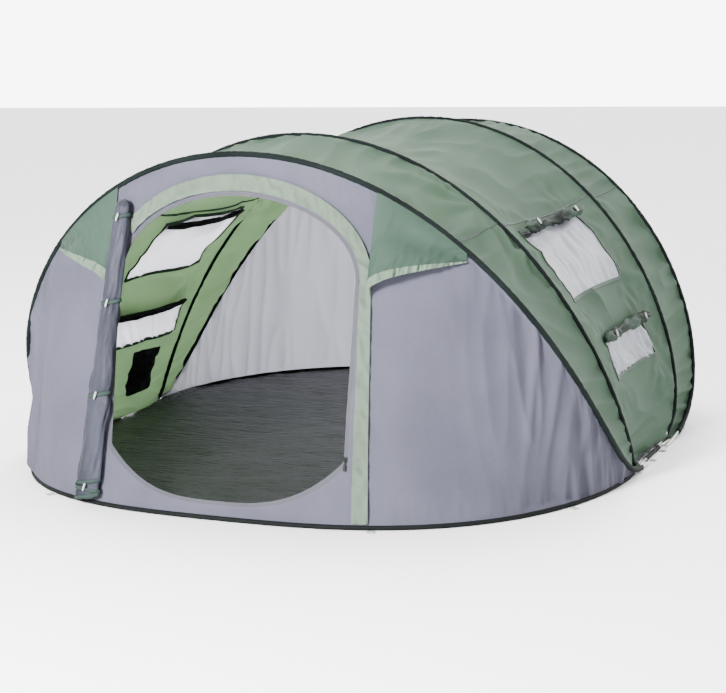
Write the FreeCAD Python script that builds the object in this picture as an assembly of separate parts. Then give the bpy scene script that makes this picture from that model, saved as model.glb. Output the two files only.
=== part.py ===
import FreeCAD, Part
import math
import os
from FreeCAD import Vector

# Pop up tent, millimetres. +Z is up, -Y is the door side, +X is to the right of somebody facing +Y.
# The origin is on the ground, in the middle of the base.
# Four sprung hoops (1 to 4, front to back) stand on an oval base ring. Hoops 1 and 2 share the two
# front corners and hoops 3 and 4 share the two back corners.

# ---- driving dimensions ----
DEPTH = 2635.0                      # over the base ring's sleeves, front to back
CORNER_Y = 125.0                    # the corners lie this far in front of and behind the middle
ROD_R = 4.25                        # fibreglass rod
FERRULE_R = 5.8                     # metal tube that joins two rod lengths
FERRULE_BORE_R = 4.8
FERRULE_LENGTH = 50.0
ROD_GAP = 0.5                       # between two rod ends inside a ferrule
SLEEVE_R = 8.0                      # fabric sleeve round a rod
SLEEVE_BORE_R = 6.4
RING_Z = SLEEVE_R                   # the base ring's rods lie this high
RING_REACH = DEPTH / 2 - SLEEVE_R   # the ring's centre line at its front and back ends

OUTER_SLOT_X = 1114.0               # hoops 1 and 4 end here, outside the base ring
RING_SLOT_X = 1093.0                # the base ring's rods end here
INNER_SLOT_X = 1083.0               # hoops 2 and 3 end here, inside the base ring

OUTER_HOOP_REACH = 1074.0           # crown of hoops 1 and 4 before and behind the middle
OUTER_HOOP_RISE = 1141.0
INNER_HOOP_REACH = 594.0            # crown of hoops 2 and 3
INNER_HOOP_RISE = 1173.0

FABRIC = 2.4                        # panels, with their lining and seams
THIN = 1.2                          # mesh and window film
SEAM = 1.0                          # the floor and the peg loops stop this far from a sleeve
PANEL_SEAM = 3.0                    # a panel's edge stops this far from a sleeve, whose runs are straight
SAG_SHARE = 0.04                    # a panel hangs in by this share of its span
ROOF_SEAM_U = 0.40                  # roof and side panels meet here, as a share of a hoop's half

DOOR_HALF_WIDTH = 430.0
DOOR_SPRING_Z = 755.0               # the door's arch starts here
DOOR_TOP_Z = 1030.0
SILL_LOW_Z = 50.0                   # the sill dips to this height in the middle
SILL_RISE = 145.0                   # and rises by this much to each side
ZIP_WIDTH = 12.0

HOOD_INNER_X = 455.0                # a vent hood's upright edge
HOOD_INNER_Z = 720.0
HOOD_HEM_RISE = 95.0
HOOD_OUTER_X = 760.0
HOOD_STANDOFF = 50.0                # its free hem stands out from the panel

RING_LAG = 0.1                      # near the corners a panel's threads meet the ring this much sooner

TENT_MIDDLE = Vector(0, 0, 400)     # panels face away from this point


def signed_power(value, exponent):
    return math.copysign(abs(value) ** exponent, value)


class Hoop:
    """A bent rod from corner to corner. u runs from -1 at the left corner, through 0 at the crown, to 1.

    sweep is half the angle the rod is bent through, across and up shape its sides and crown, and lean
    says how early it moves out from the corner as it rises. lag moves the places where panels meet it.
    """

    def __init__(self, half_width, reach, rise, sweep, across, up, lean, lag, side):
        self.half_width = half_width
        self.reach = reach
        self.rise = rise
        self.sweep = sweep
        self.across = across
        self.up = up
        self.lean = lean
        self.lag = lag
        self.side = side

    def point(self, u):
        angle = u * self.sweep
        foot = signed_power(math.cos(self.sweep), self.up)
        share = (signed_power(math.cos(angle), self.up) - foot) / (1 - foot)
        share = max(share, 0.0)
        x = self.half_width * signed_power(math.sin(angle), self.across)
        x = x / math.sin(self.sweep) ** self.across
        y = self.side * (CORNER_Y + (self.reach - CORNER_Y) * share ** self.lean)
        return Vector(x, y, RING_Z + self.rise * share)

    def place(self, u):
        """Where a panel's u meets the hoop."""
        return self.point(u - math.copysign(self.lag * abs(u / 0.9) ** 4, u))

    def squareness(self, u, direction):
        """The sine of the angle between this direction and the hoop."""
        along = (self.place(u + 0.002) - self.place(u - 0.002)).normalize()
        return max(math.sqrt(1 - along.dot(direction) ** 2), 0.35)

    def u_at_distance(self, distance):
        """The u, on the right half, at this straight distance from the corner's axis."""
        low, high = 0.5, 1.0
        for _ in range(40):
            middle = (low + high) / 2
            place = self.point(middle)
            away = math.hypot(place.y - self.side * CORNER_Y, place.z - RING_Z)
            if away > distance:
                low = middle
            else:
                high = middle
        return low

    def route(self, u_end, runs):
        """Points at even distances along the hoop, from -u_end to u_end."""
        fine = [self.point(u_end * (2 * i / 1200 - 1)) for i in range(1201)]
        lengths = [0.0]
        for a, b in zip(fine, fine[1:]):
            lengths.append(lengths[-1] + a.distanceToPoint(b))
        places = []
        i = 0
        for k in range(runs + 1):
            target = lengths[-1] * k / runs
            while i < len(lengths) - 2 and lengths[i + 1] < target:
                i += 1
            share = (target - lengths[i]) / (lengths[i + 1] - lengths[i])
            places.append(fine[i] + (fine[i + 1] - fine[i]) * share)
        return places


def front_and_back(half_width, reach, rise, sweep, across, up, lean, lag=0.0):
    return [Hoop(half_width, reach, rise, sweep, across, up, lean, lag, side) for side in (-1, 1)]


HOOP_1, HOOP_4 = front_and_back(OUTER_SLOT_X, OUTER_HOOP_REACH, OUTER_HOOP_RISE, 1.652, 0.985, 1.18, 0.369)
HOOP_2, HOOP_3 = front_and_back(INNER_SLOT_X, INNER_HOOP_REACH, INNER_HOOP_RISE, 1.71, 0.99, 1.237, 0.33)
RING_FRONT, RING_BACK = front_and_back(RING_SLOT_X, RING_REACH, 0.0, 1.745, 0.70, 0.965, 1.0, RING_LAG)


# ---- output ----

def save(name, solids):
    if not isinstance(solids, (list, tuple)):
        solids = [solids]
    kept = []
    for shape in solids:
        kept.extend(shape.Solids)
    shape = kept[0] if len(kept) == 1 else Part.makeCompound(kept)
    if not kept or not shape.isValid():
        print("CHECK", name, "solids", len(kept), "valid", bool(kept) and shape.isValid())
    shape.exportStep("parts/" + name + ".step")
    box = shape.BoundBox
    print(name, len(kept), "solids", round(shape.Volume / 1000, 1), "cm3",
          [round(v) for v in (box.XMin, box.YMin, box.ZMin, box.XMax, box.YMax, box.ZMax)])


def mirrored(shape):
    """The same shape on the tent's other side."""
    return shape.mirror(Vector(0, 0, 0), Vector(1, 0, 0))


# ---- rods, ferrules and sleeves ----

def smooth_wire(points):
    """Straight runs joined by arcs that touch both runs."""
    edges = []
    here = points[0]
    for a, b, c in zip(points, points[1:], points[2:]):
        back = (a - b).normalize()
        ahead = (c - b).normalize()
        half_turn = (math.pi - back.getAngle(ahead)) / 2
        if half_turn < 1e-4:
            continue
        reach = 0.45 * min(a.distanceToPoint(b), b.distanceToPoint(c))
        inward = (back + ahead).normalize()
        radius = reach / math.tan(half_turn)
        start = b + back * reach
        end = b + ahead * reach
        crown = b + inward * (radius / math.cos(half_turn) - radius)
        edges.append(Part.makeLine(here, start))
        edges.append(Part.Arc(start, crown, end).toShape())
        here = end
    edges.append(Part.makeLine(here, points[-1]))
    return Part.Wire(edges)


def disc(radius, centre, along):
    return Part.Face(Part.Wire(Part.makeCircle(radius, centre, along)))


def tube(points, radius, bore=0.0):
    along = (points[1] - points[0]).normalize()
    section = disc(radius, points[0], along)
    if bore:
        section = section.cut(disc(bore, points[0], along)).Faces[0]
    return smooth_wire(points).makePipe(section)


def rods_and_ferrules(places, joints):
    """Rod lengths that meet inside ferrules, in the middle of the runs whose numbers are given."""
    rods = []
    ferrules = []
    start = [places[0]]
    first = 1
    for run in joints:
        middle = (places[run] + places[run + 1]) * 0.5
        along = (places[run + 1] - places[run]).normalize()
        rods.append(tube(start + places[first:run + 1] + [middle - along * (ROD_GAP / 2)], ROD_R))
        start = [middle + along * (ROD_GAP / 2)]
        first = run + 1
        foot = middle - along * (FERRULE_LENGTH / 2)
        outer = Part.makeCylinder(FERRULE_R, FERRULE_LENGTH, foot, along)
        bore = Part.makeCylinder(FERRULE_BORE_R, FERRULE_LENGTH, foot, along)
        ferrules.append(outer.cut(bore))
    rods.append(tube(start + places[first:], ROD_R))
    return rods, ferrules


def framed(name, hoop, runs, joints, bare):
    """Rods, ferrules and sleeve of one hoop.

    Rods stop just short of the corners' axis. The sleeve leaves a number of runs bare at each end, and
    begins in the middle of the next.
    """
    places = hoop.route(hoop.u_at_distance(ROD_R + 2), runs)
    rods, ferrules = rods_and_ferrules(places, joints)
    save(name + "_rods", rods)
    save(name + "_ferrules", ferrules)
    covered = places[bare + 1:-bare - 1]
    start = (places[bare] + covered[0]) * 0.5
    end = (places[-bare - 1] + covered[-1]) * 0.5
    save(name + "_sleeve", tube([start] + covered + [end], SLEEVE_R, SLEEVE_BORE_R))


# ---- panels ----

def curve_through(points):
    curve = Part.BSplineCurve()
    curve.interpolate(points)
    return curve.toShape()


class Span:
    """The cloth between two hoops: v runs from 0 at the first to 1 at the second."""

    def __init__(self, first, second, sag_share):
        self.first = first
        self.second = second
        self.sag_share = sag_share

    def straight(self, u, v):
        a = self.first.place(u)
        b = self.second.place(u)
        across = (b - a).normalize()
        start = a + across * ((SLEEVE_R + PANEL_SEAM) / self.first.squareness(u, across))
        end = b - across * ((SLEEVE_R + PANEL_SEAM) / self.second.squareness(u, across))
        return start + (end - start) * v

    def outward(self, u, v):
        step = 0.004
        along = self.straight(u + step, v) - self.straight(u - step, v)
        across = self.straight(u, v + step) - self.straight(u, v - step)
        normal = along.cross(across).normalize()
        if normal.dot(self.straight(u, v) - TENT_MIDDLE) < 0:
            normal = normal * -1
        return normal

    def point(self, u, v, out=0.0):
        width = self.first.place(u).distanceToPoint(self.second.place(u))
        sag = self.sag_share * width * 4 * v * (1 - v)
        return self.straight(u, v) + self.outward(u, v) * (out - sag)

    def at(self, x, z, out=0.0):
        """The point of the cloth at this x and z, and the u and v that give it."""
        u, v = x / 1400.0, z / 1200.0
        step = 1e-4
        for _ in range(25):
            here = self.point(u, v)
            du = (self.point(u + step, v) - here) * (1 / step)
            dv = (self.point(u, v + step) - here) * (1 / step)
            miss_x, miss_z = x - here.x, z - here.z
            area = du.x * dv.z - dv.x * du.z
            u += (miss_x * dv.z - dv.x * miss_z) / area
            v += (du.x * miss_z - miss_x * du.z) / area
        return self.point(u, v, out)

    def skin(self, u_low, u_high, stations, thickness=FABRIC, out=0.0, rows=7):
        """A closed solid of even thickness between two values of u."""
        shares = [i / (rows - 1) for i in range(rows)]
        sections = []
        for k in range(stations):
            u = u_low + (u_high - u_low) * k / (stations - 1)
            outer = [self.point(u, v, out + thickness / 2) for v in shares]
            inner = [self.point(u, v, out - thickness / 2) for v in reversed(shares)]
            sections.append(thin_section(outer, inner))
        return closed_loft(sections)


def thin_section(outer, inner):
    """A closed outline from two curves that run opposite ways, joined at their ends."""
    return Part.Wire([curve_through(outer), Part.makeLine(outer[-1], inner[0]),
                      curve_through(inner), Part.makeLine(inner[-1], outer[0])])


def closed_loft(sections):
    """A solid through thin sections that needn't be flat, so each end gets a face filled in."""
    loft = Part.makeLoft(sections, False, False)
    faces = list(loft.Faces)
    for section in (sections[0], sections[-1]):
        rim = []
        for side in section.Edges:
            middle = side.CenterOfMass
            rim.append(min(loft.Edges, key=lambda edge: edge.CenterOfMass.distanceToPoint(middle)))
        faces.append(Part.makeFilledFace(rim))
    shell = Part.makeShell(faces)
    shell.sewShape()
    solid = Part.makeSolid(shell)
    if solid.Volume < 0:
        solid.reverse()
    return solid


FRONT = Span(RING_FRONT, HOOP_1, -0.008)
FRONT_STRIP = Span(HOOP_1, HOOP_2, SAG_SHARE)
MIDDLE = Span(HOOP_2, HOOP_3, SAG_SHARE)
REAR_STRIP = Span(HOOP_3, HOOP_4, SAG_SHARE)
BACK = Span(HOOP_4, RING_BACK, -0.008)


# ---- outlines, drawn in the XZ plane and pushed along Y ----

def prism_along_y(edges, y_low, y_high):
    face = Part.Face(Part.Wire(edges))
    face.translate(Vector(0, y_low, 0))
    return face.extrude(Vector(0, y_high - y_low, 0))


def prism_along_x(corners, x_low, x_high):
    ring = [Vector(x_low, y, z) for y, z in corners]
    face = Part.Face(Part.makePolygon(ring + ring[:1]))
    return face.extrude(Vector(x_high - x_low, 0, 0))


def sill_height(x, half_width):
    return SILL_LOW_Z + SILL_RISE * abs(x / half_width) ** 3


def door_outline(inset):
    """The door's edge, moved in by inset: dipped sill, upright sides and an arched top."""
    half = DOOR_HALF_WIDTH - inset
    rise = DOOR_TOP_Z - inset - DOOR_SPRING_Z
    arch = [Vector(half * math.cos(math.pi * i / 12), 0, DOOR_SPRING_Z + rise * math.sin(math.pi * i / 12))
            for i in range(13)]
    sill = []
    for i in range(13):
        x = half * (i / 6 - 1)
        sill.append(Vector(x, 0, sill_height(x, half) + inset))
    return [curve_through(arch), Part.makeLine(arch[-1], sill[0]),
            curve_through(sill), Part.makeLine(sill[-1], arch[0])]


def door_prism(inset):
    return prism_along_y(door_outline(inset), -1500, -900)


def vent_corners(shrink):
    """The vent in the front panel under the right hood, as corners that follow hoop 1."""
    corners = [Vector(HOOD_INNER_X + 22, 0, HOOD_INNER_Z + 50)]
    for i in range(5):
        place = HOOP_1.point(0.268 + 0.150 * i / 4)
        corners.append(Vector(place.x * 0.962, 0, place.z * 0.962))
    middle = Vector(0, 0, 0)
    for corner in corners:
        middle += corner * (1 / len(corners))
    return [middle + (corner - middle) * shrink for corner in corners]


def vent_prism(shrink):
    corners = vent_corners(shrink)
    return prism_along_y([Part.makePolygon(corners + corners[:1])], -1400, -700)


def flap_outline():
    """The storm flap's band along the door: up the right side and over the arch."""
    over = math.radians(152)
    steps = 14

    def bow(half_width, top):
        return [Vector(half_width * math.cos(over * i / steps), 0,
                       DOOR_SPRING_Z + (top - DOOR_SPRING_Z) * math.sin(over * i / steps))
                for i in range(steps + 1)]

    inner = bow(DOOR_HALF_WIDTH + 2, DOOR_TOP_Z + 3)
    outer = bow(DOOR_HALF_WIDTH + 36, DOOR_TOP_Z + 55)
    foot_in = Vector(DOOR_HALF_WIDTH + 22, 0, 2.4 * SLEEVE_R)
    foot_out = Vector(DOOR_HALF_WIDTH + 72, 0, 2.4 * SLEEVE_R)
    return [Part.makeLine(foot_out, outer[0]), curve_through(outer),
            Part.makeLine(outer[-1], inner[-1]), curve_through(list(reversed(inner))),
            Part.makeLine(inner[0], foot_in), Part.makeLine(foot_in, foot_out)]


def front_panel_pieces():
    slab = FRONT.skin(-0.95, 0.95, 29)
    vents = [vent_prism(1.0), mirrored(vent_prism(1.0))]
    panel = slab.cut(door_prism(0.0))
    for vent in vents:
        panel = panel.cut(vent)
    save("front_panel", panel)

    band = door_prism(0.6).cut(door_prism(ZIP_WIDTH))
    save("door_zip", slab.common(band))

    gauze = FRONT.skin(0.15, 0.60, 10, THIN)
    mesh = gauze.common(vent_prism(0.98))
    save("vent_mesh_right", mesh)
    save("vent_mesh_left", mirrored(mesh))

    flap = FRONT.skin(-0.40, 0.40, 15, FABRIC, 8.0)
    save("rain_flap", flap.common(prism_along_y(flap_outline(), -1500, -900)))


def vent_hood():
    """A hood over the right vent: sewn to hoop 1 and to the door side, with a free hem that stands out."""
    sections = []
    for i in range(9):
        t = 0.92 * i / 8
        u = 0.255 + 0.190 * t
        top = FRONT.point(u, 1.0, 9.0)
        x = HOOD_INNER_X + (HOOD_OUTER_X - HOOD_INNER_X) * t
        z = HOOD_INNER_Z + HOOD_HEM_RISE * t ** 0.45
        out = 9.0 + HOOD_STANDOFF * math.sin(math.pi * t ** 0.7)
        hem = FRONT.at(x, z, out)
        outer = []
        inner = []
        for w in (0.0, 0.3, 0.6, 0.85, 1.0):
            place = top + (hem - top) * w + Vector(0, -16 * math.sin(math.pi * w * 0.8) * (1 - t), 0)
            outer.append(place + Vector(0, -FABRIC / 2, 0))
            inner.append(place + Vector(0, FABRIC / 2, 0))
        sections.append(thin_section(outer, list(reversed(inner))))
    return closed_loft(sections)


# ---- rolled cloth, ties and toggles ----

ROLL_TOP_Z = 1000.0
ROLL_FOOT_Z = 24.0
ROLL_BEHIND = 12.5                  # room behind the roll for its ties


def roll_centre(z):
    share = 1 - z / ROLL_TOP_Z
    half_wide = 29 + 16 * share
    half_deep = 24 - 5 * share
    x = -415 - 78 * share ** 1.2
    place = FRONT.at(x, z)
    return Vector(x, place.y - half_deep - ROLL_BEHIND, z), half_wide, half_deep


def level_ellipse(centre, half_wide, half_deep):
    if half_wide < half_deep:
        half_wide = half_deep + 0.01
    return Part.Wire(Part.Ellipse(centre, half_wide, half_deep).toShape())


def door_roll():
    rings = []
    for i in range(9):
        centre, wide, deep = roll_centre(ROLL_FOOT_Z + (ROLL_TOP_Z - ROLL_FOOT_Z) * i / 8)
        rings.append(level_ellipse(centre, wide, deep))
    return Part.makeLoft(rings, True, False)


TIE_HEIGHTS = (945.0, 668.0, 369.0, 70.0)
TIE_TALL = 16.0
TIE_CLEAR = 2.2
TIE_THICK = 1.8


def tie_round_roll(z):
    outer = []
    inner = []
    for end in (z - TIE_TALL / 2, z + TIE_TALL / 2):
        centre, wide, deep = roll_centre(end)
        outer.append(level_ellipse(centre, wide + TIE_CLEAR + TIE_THICK, deep + TIE_CLEAR + TIE_THICK))
        inner.append(level_ellipse(centre, wide + TIE_CLEAR, deep + TIE_CLEAR))
    return Part.makeLoft(outer, True, True).cut(Part.makeLoft(inner, True, True))


def toggle(centre, along, length=32.0, radius=3.5):
    """A small peg with rounded ends."""
    foot = centre - along * (length / 2 - radius)
    head = centre + along * (length / 2 - radius)
    body = Part.makeCylinder(radius, length - 2 * radius, foot, along)
    return body.fuse([Part.makeSphere(radius, foot), Part.makeSphere(radius, head)]).removeSplitter()


def door_ties_and_toggles():
    ties = []
    toggles = []
    for z in TIE_HEIGHTS:
        ties.append(tie_round_roll(z))
        centre, _, deep = roll_centre(z)
        front = centre.y - deep - TIE_CLEAR - TIE_THICK - 5.2
        toggles.append(toggle(Vector(centre.x, front, z), Vector(0.35, 0, 0.94).normalize(), 30.0))
    save("door_ties", ties)
    save("door_toggles", toggles)


# ---- windows in the side panels ----

UPPER_WINDOW = [(-325, 838), (325, 838), (305, 605), (-305, 605)]
LOWER_WINDOW = [(-265, 446), (300, 446), (290, 322), (-250, 322)]
WINDOW_INSET = 0.8


def inset_corners(corners, inset):
    mid_y = sum(y for y, _ in corners) / len(corners)
    mid_z = sum(z for _, z in corners) / len(corners)
    return [(y - math.copysign(inset, y - mid_y), z - math.copysign(inset, z - mid_z)) for y, z in corners]


def swept_roll(places, radii):
    """A soft roll through circles set square to its path."""
    rings = []
    for i, (place, radius) in enumerate(zip(places, radii)):
        ahead = places[min(i + 1, len(places) - 1)] - places[max(i - 1, 0)]
        rings.append(Part.Wire(Part.makeCircle(radius, place, ahead.normalize())))
    return Part.makeLoft(rings, True, False)


class RolledCover:
    """The cover rolled up above one right-hand window, with its mesh rolled up inside."""

    def __init__(self, u, v_low, v_high):
        self.u = u
        self.shares = [v_low + (v_high - v_low) * i / 6 for i in range(7)]

    def cover(self):
        places = [MIDDLE.point(self.u, v, 27.0) for v in self.shares]
        return swept_roll(places, (16, 21, 23, 21, 23, 21, 16))

    def mesh(self):
        places = [MIDDLE.point(self.u + 0.006, v, -16.0) for v in self.shares]
        return swept_roll(places, (8, 11, 12, 11, 12, 11, 8))

    def ties_and_toggles(self):
        ties = []
        toggles = []
        for k in (1, 5):
            place = MIDDLE.point(self.u, self.shares[k], 27.0)
            along = (MIDDLE.point(self.u, self.shares[k] + 0.01, 27.0) - place).normalize()
            out = MIDDLE.outward(self.u, self.shares[k])
            foot = place - along * 5
            band = Part.makeCylinder(24.8, 10, foot, along).cut(Part.makeCylinder(23.4, 10, foot, along))
            ties.append(band)
            up = out.cross(along).normalize()
            toggles.append(toggle(place + out * 29.0, up, 28.0))
        return ties, toggles


COVERS = {"upper": RolledCover(0.424, 0.19, 0.83), "lower": RolledCover(0.667, 0.18, 0.84)}
WINDOWS = {"upper": UPPER_WINDOW, "lower": LOWER_WINDOW}


def side_panel_pieces():
    side = MIDDLE.skin(ROOF_SEAM_U + 0.003, 0.955, 15)
    film = MIDDLE.skin(ROOF_SEAM_U + 0.003, 0.955, 15, THIN)
    ties = []
    toggles = []
    for level, corners in WINDOWS.items():
        side = side.cut(prism_along_x(corners, 500, 1300))
        pane = film.common(prism_along_x(inset_corners(corners, WINDOW_INSET), 500, 1300))
        cover = COVERS[level].cover()
        mesh = COVERS[level].mesh()
        for place, turn in (("right", lambda shape: shape), ("left", mirrored)):
            save("window_" + level + "_" + place, turn(pane))
            save("cover_roll_" + level + "_" + place, turn(cover))
            save("mesh_roll_" + level + "_" + place, turn(mesh))
        bands, pegs = COVERS[level].ties_and_toggles()
        ties += bands + [mirrored(band) for band in bands]
        toggles += pegs + [mirrored(peg) for peg in pegs]
    save("side_panel_right", side)
    save("side_panel_left", mirrored(side))
    save("cover_ties", ties)
    save("cover_toggles", toggles)
    save("storage_pocket", storage_pocket())


POCKET_Y = (-70.0, 130.0)
POCKET_Z = (92.0, 292.0)
POCKET_DEEP = 30.0
POCKET_WALL = 2.0


def storage_pocket():
    """A flat pouch on the left side panel, open at the top and closed by the panel behind it."""
    near = 6.0
    whole = MIDDLE.skin(0.74, 0.955, 5, POCKET_DEEP, -near - POCKET_DEEP / 2)
    hollow = MIDDLE.skin(0.72, 0.957, 5, POCKET_DEEP, -near - POCKET_DEEP / 2 + POCKET_WALL)
    y0, y1 = POCKET_Y
    z0, z1 = POCKET_Z
    box = prism_along_x([(y0, z0), (y1, z0), (y1, z1), (y0, z1)], 600, 1300)
    w = POCKET_WALL
    room = prism_along_x([(y0 + w, z0 + w), (y1 - w, z0 + w), (y1 - w, z1 + 9), (y0 + w, z1 + 9)], 600, 1300)
    return mirrored(whole.common(box).cut(hollow.common(room)))


# ---- floor, loops and slider ----

FLOOR_THICK = 3.0


def half_floor(ring):
    """One half of the floor sheet, from its corners' axis to just inside the base ring."""
    inside = SLEEVE_R + SEAM
    u_end = ring.u_at_distance(2.0)
    edge = []
    for i in range(41):
        u = u_end * (i / 20 - 1)
        here = ring.point(u)
        along = (ring.point(u + 0.002) - ring.point(u - 0.002)).normalize()
        inward = Vector(-along.y, along.x, 0) * ring.side * -1
        place = here + inward * inside
        edge.append(Vector(place.x, place.y, 0))
    edge[0].y = edge[-1].y = ring.side * (CORNER_Y + 1.0)
    outline = Part.Wire([curve_through(edge), Part.makeLine(edge[-1], edge[0])])
    return Part.Face(outline).extrude(Vector(0, 0, FLOOR_THICK))


def loop_tab(place, out, wide=24.0, length=26.0, thick=2.2):
    """A webbing tab on the ground with an eye for a peg, just outside a sleeve."""
    start = SLEEVE_R + SEAM
    tab = Part.makeBox(length, wide, thick, Vector(start, -wide / 2, 0.2))
    eye = Part.makeCylinder(5.0, thick + 2, Vector(start + length - 11, 0, -0.5))
    tab = tab.cut(eye)
    tab.rotate(Vector(0, 0, 0), Vector(0, 0, 1), math.degrees(math.atan2(out.y, out.x)))
    tab.translate(Vector(place.x, place.y, 0))
    return tab


def ring_tabs(ring, stations):
    tabs = []
    for u in stations:
        along = (ring.point(u + 0.002) - ring.point(u - 0.002)).normalize()
        out = Vector(along.y, -along.x, 0) * ring.side * -1
        tabs.append(loop_tab(ring.point(u), out))
    return tabs


SLIDER_X = DOOR_HALF_WIDTH - ZIP_WIDTH / 2
SLIDER_Z = 215.0
SLIDER_GAP = 1.6


def zip_slider_and_pull():
    """The door zip's slider, parked low on the right, with a pull tab that swings on its bridge."""
    foot = FRONT.at(SLIDER_X, SLIDER_Z)
    head = FRONT.at(SLIDER_X, 735.0)
    up = (head - foot).normalize()
    across = Vector(1, 0, 0)
    across = (across - up * across.dot(up)).normalize()
    out = across.cross(up).normalize()
    if out.y > 0:
        out = out * -1
    base = foot + out * (FABRIC / 2 + SLIDER_GAP)
    frame = FreeCAD.Matrix(across.x, up.x, out.x, base.x, across.y, up.y, out.y, base.y,
                           across.z, up.z, out.z, base.z, 0, 0, 0, 1)
    plate = Part.makeBox(11, 18, 3, Vector(-5.5, -9, 0))
    plate = plate.makeFillet(1.0, plate.Edges)
    lugs = [Part.makeBox(1.6, 5, 4.6, Vector(x, -2.5, 2.2)) for x in (-3.6, 2.0)]
    pin = Part.makeCylinder(0.9, 5.0, Vector(-2.5, 0, 5.2), Vector(1, 0, 0))
    slider = plate.fuse(lugs + [pin])
    tab = Part.makeBox(3.2, 34, 1.4, Vector(-1.6, -34, 4.5))
    eye = Part.makeCylinder(2.2, 3.2, Vector(-1.6, 0, 5.2), Vector(1, 0, 0))
    bore = Part.makeCylinder(1.0, 8, Vector(-4, 0, 5.2), Vector(1, 0, 0))
    grip = Part.makeBox(9, 20, 1.4, Vector(-4.5, -36, 4.5))
    pull = tab.fuse([eye, grip]).cut(bore)
    slider.Placement = FreeCAD.Placement(frame)
    pull.Placement = FreeCAD.Placement(frame)
    save("zip_slider", slider)
    save("zip_pull", pull)
    pivot = base + out * 5.2
    print("zip axis", up, "pull pivot", pivot, "pull axis", across)


def build_frame():
    framed("hoop_1", HOOP_1, 46, (11, 22, 34), 3)
    framed("hoop_2", HOOP_2, 46, (11, 22, 34), 2)
    framed("hoop_3", HOOP_3, 46, (11, 22, 34), 2)
    framed("hoop_4", HOOP_4, 46, (11, 22, 34), 3)
    framed("base_front", RING_FRONT, 30, (6, 14, 23), 1)
    framed("base_back", RING_BACK, 30, (6, 14, 23), 1)
    rods = []
    sleeves = []
    for x in (-RING_SLOT_X, RING_SLOT_X):
        rod_end = CORNER_Y - 12
        sleeve_end = CORNER_Y - 30
        rods.append(Part.makeCylinder(ROD_R, 2 * rod_end, Vector(x, -rod_end, RING_Z), Vector(0, 1, 0)))
        foot = Vector(x, -sleeve_end, RING_Z)
        outer = Part.makeCylinder(SLEEVE_R, 2 * sleeve_end, foot, Vector(0, 1, 0))
        bore = Part.makeCylinder(SLEEVE_BORE_R, 2 * sleeve_end, foot, Vector(0, 1, 0))
        sleeves.append(outer.cut(bore))
    save("side_rods", rods)
    save("side_sleeves", sleeves)


def build_floor():
    save("floor_front", half_floor(RING_FRONT))
    save("floor_back", half_floor(RING_BACK))
    half_x = RING_SLOT_X - SLEEVE_R - SEAM
    half_y = CORNER_Y - 1.0
    save("floor_middle", Part.makeBox(2 * half_x, 2 * half_y, FLOOR_THICK, Vector(-half_x, -half_y, 0)))
    save("peg_loops_front", ring_tabs(RING_FRONT, (-0.62, -0.30, 0.195, 0.62)))
    save("peg_loops_back", ring_tabs(RING_BACK, (-0.62, -0.25, 0.25, 0.62)))
    corners = []
    for x in (-1, 1):
        for y in (-1, 1):
            corners.append(loop_tab(Vector(x * RING_SLOT_X, y * 78.0, 0), Vector(x, 0, 0), 22.0, 24.0))
    save("corner_loops", corners)


def build_cloth():
    front_panel_pieces()
    hood = vent_hood()
    save("vent_hood_right", hood)
    save("vent_hood_left", mirrored(hood))
    save("door_roll", door_roll())
    door_ties_and_toggles()
    save("front_strip", FRONT_STRIP.skin(-0.90, 0.90, 27))
    save("rear_strip", REAR_STRIP.skin(-0.90, 0.90, 27))
    save("roof_panel", MIDDLE.skin(-ROOF_SEAM_U, ROOF_SEAM_U, 11))
    side_panel_pieces()
    save("back_panel", BACK.skin(-0.95, 0.95, 29))


os.makedirs("parts", exist_ok=True)
build_frame()
build_floor()
build_cloth()
zip_slider_and_pull()
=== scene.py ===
import math

import bpy
import numpy as np
from mathutils import Matrix, Vector
from mathutils.geometry import delaunay_2d_cdt


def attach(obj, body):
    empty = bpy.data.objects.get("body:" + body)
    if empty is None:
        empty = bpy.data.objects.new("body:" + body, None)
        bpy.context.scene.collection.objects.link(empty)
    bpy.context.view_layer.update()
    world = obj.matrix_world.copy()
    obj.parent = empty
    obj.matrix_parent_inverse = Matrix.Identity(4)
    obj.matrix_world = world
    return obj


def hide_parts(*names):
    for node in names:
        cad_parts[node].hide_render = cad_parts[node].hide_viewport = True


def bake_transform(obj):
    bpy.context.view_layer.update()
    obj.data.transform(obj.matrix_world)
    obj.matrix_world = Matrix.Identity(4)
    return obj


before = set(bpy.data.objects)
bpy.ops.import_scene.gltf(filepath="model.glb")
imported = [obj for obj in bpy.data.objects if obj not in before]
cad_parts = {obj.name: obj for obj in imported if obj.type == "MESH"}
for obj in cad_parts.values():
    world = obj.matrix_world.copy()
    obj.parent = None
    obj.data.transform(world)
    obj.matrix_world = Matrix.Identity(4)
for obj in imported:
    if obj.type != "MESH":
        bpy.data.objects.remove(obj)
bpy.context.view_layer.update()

# ---- driving dimensions, metres, as in the CAD source ----
CORNER_Y = 0.125
RING_HALF_WIDTH = 1.093
SLEEVE_R = 0.008
RING_Z = SLEEVE_R
DEPTH = 2.635
ROOF_SEAM_U = 0.40
TUCK = 0.006                # cloth runs into a sleeve to this distance from its centre line
CLOTH = 0.0012
FILM_THICK = 0.0006
SEAM_GAP = 0.001            # the floor stops this far inside the ring

DOOR_HALF_WIDTH = 0.430
DOOR_SPRING_Z = 0.755
DOOR_TOP_Z = 1.030
SILL_LOW_Z = 0.050
SILL_RISE = 0.145
ZIP_WIDTH = 0.012

HOOD_INNER_X = 0.455
HOOD_INNER_Z = 0.720
HOOD_OUTER_X = 0.760
HOOD_HEM_RISE = 0.095
HOOD_STANDOFF = 0.050
HOOD_SHARE = 0.92           # how much of the hood's line from the door to its tip is cloth

TENT_MIDDLE = np.array([0.0, 0.0, 0.4])


# ---- camera ----

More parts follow.
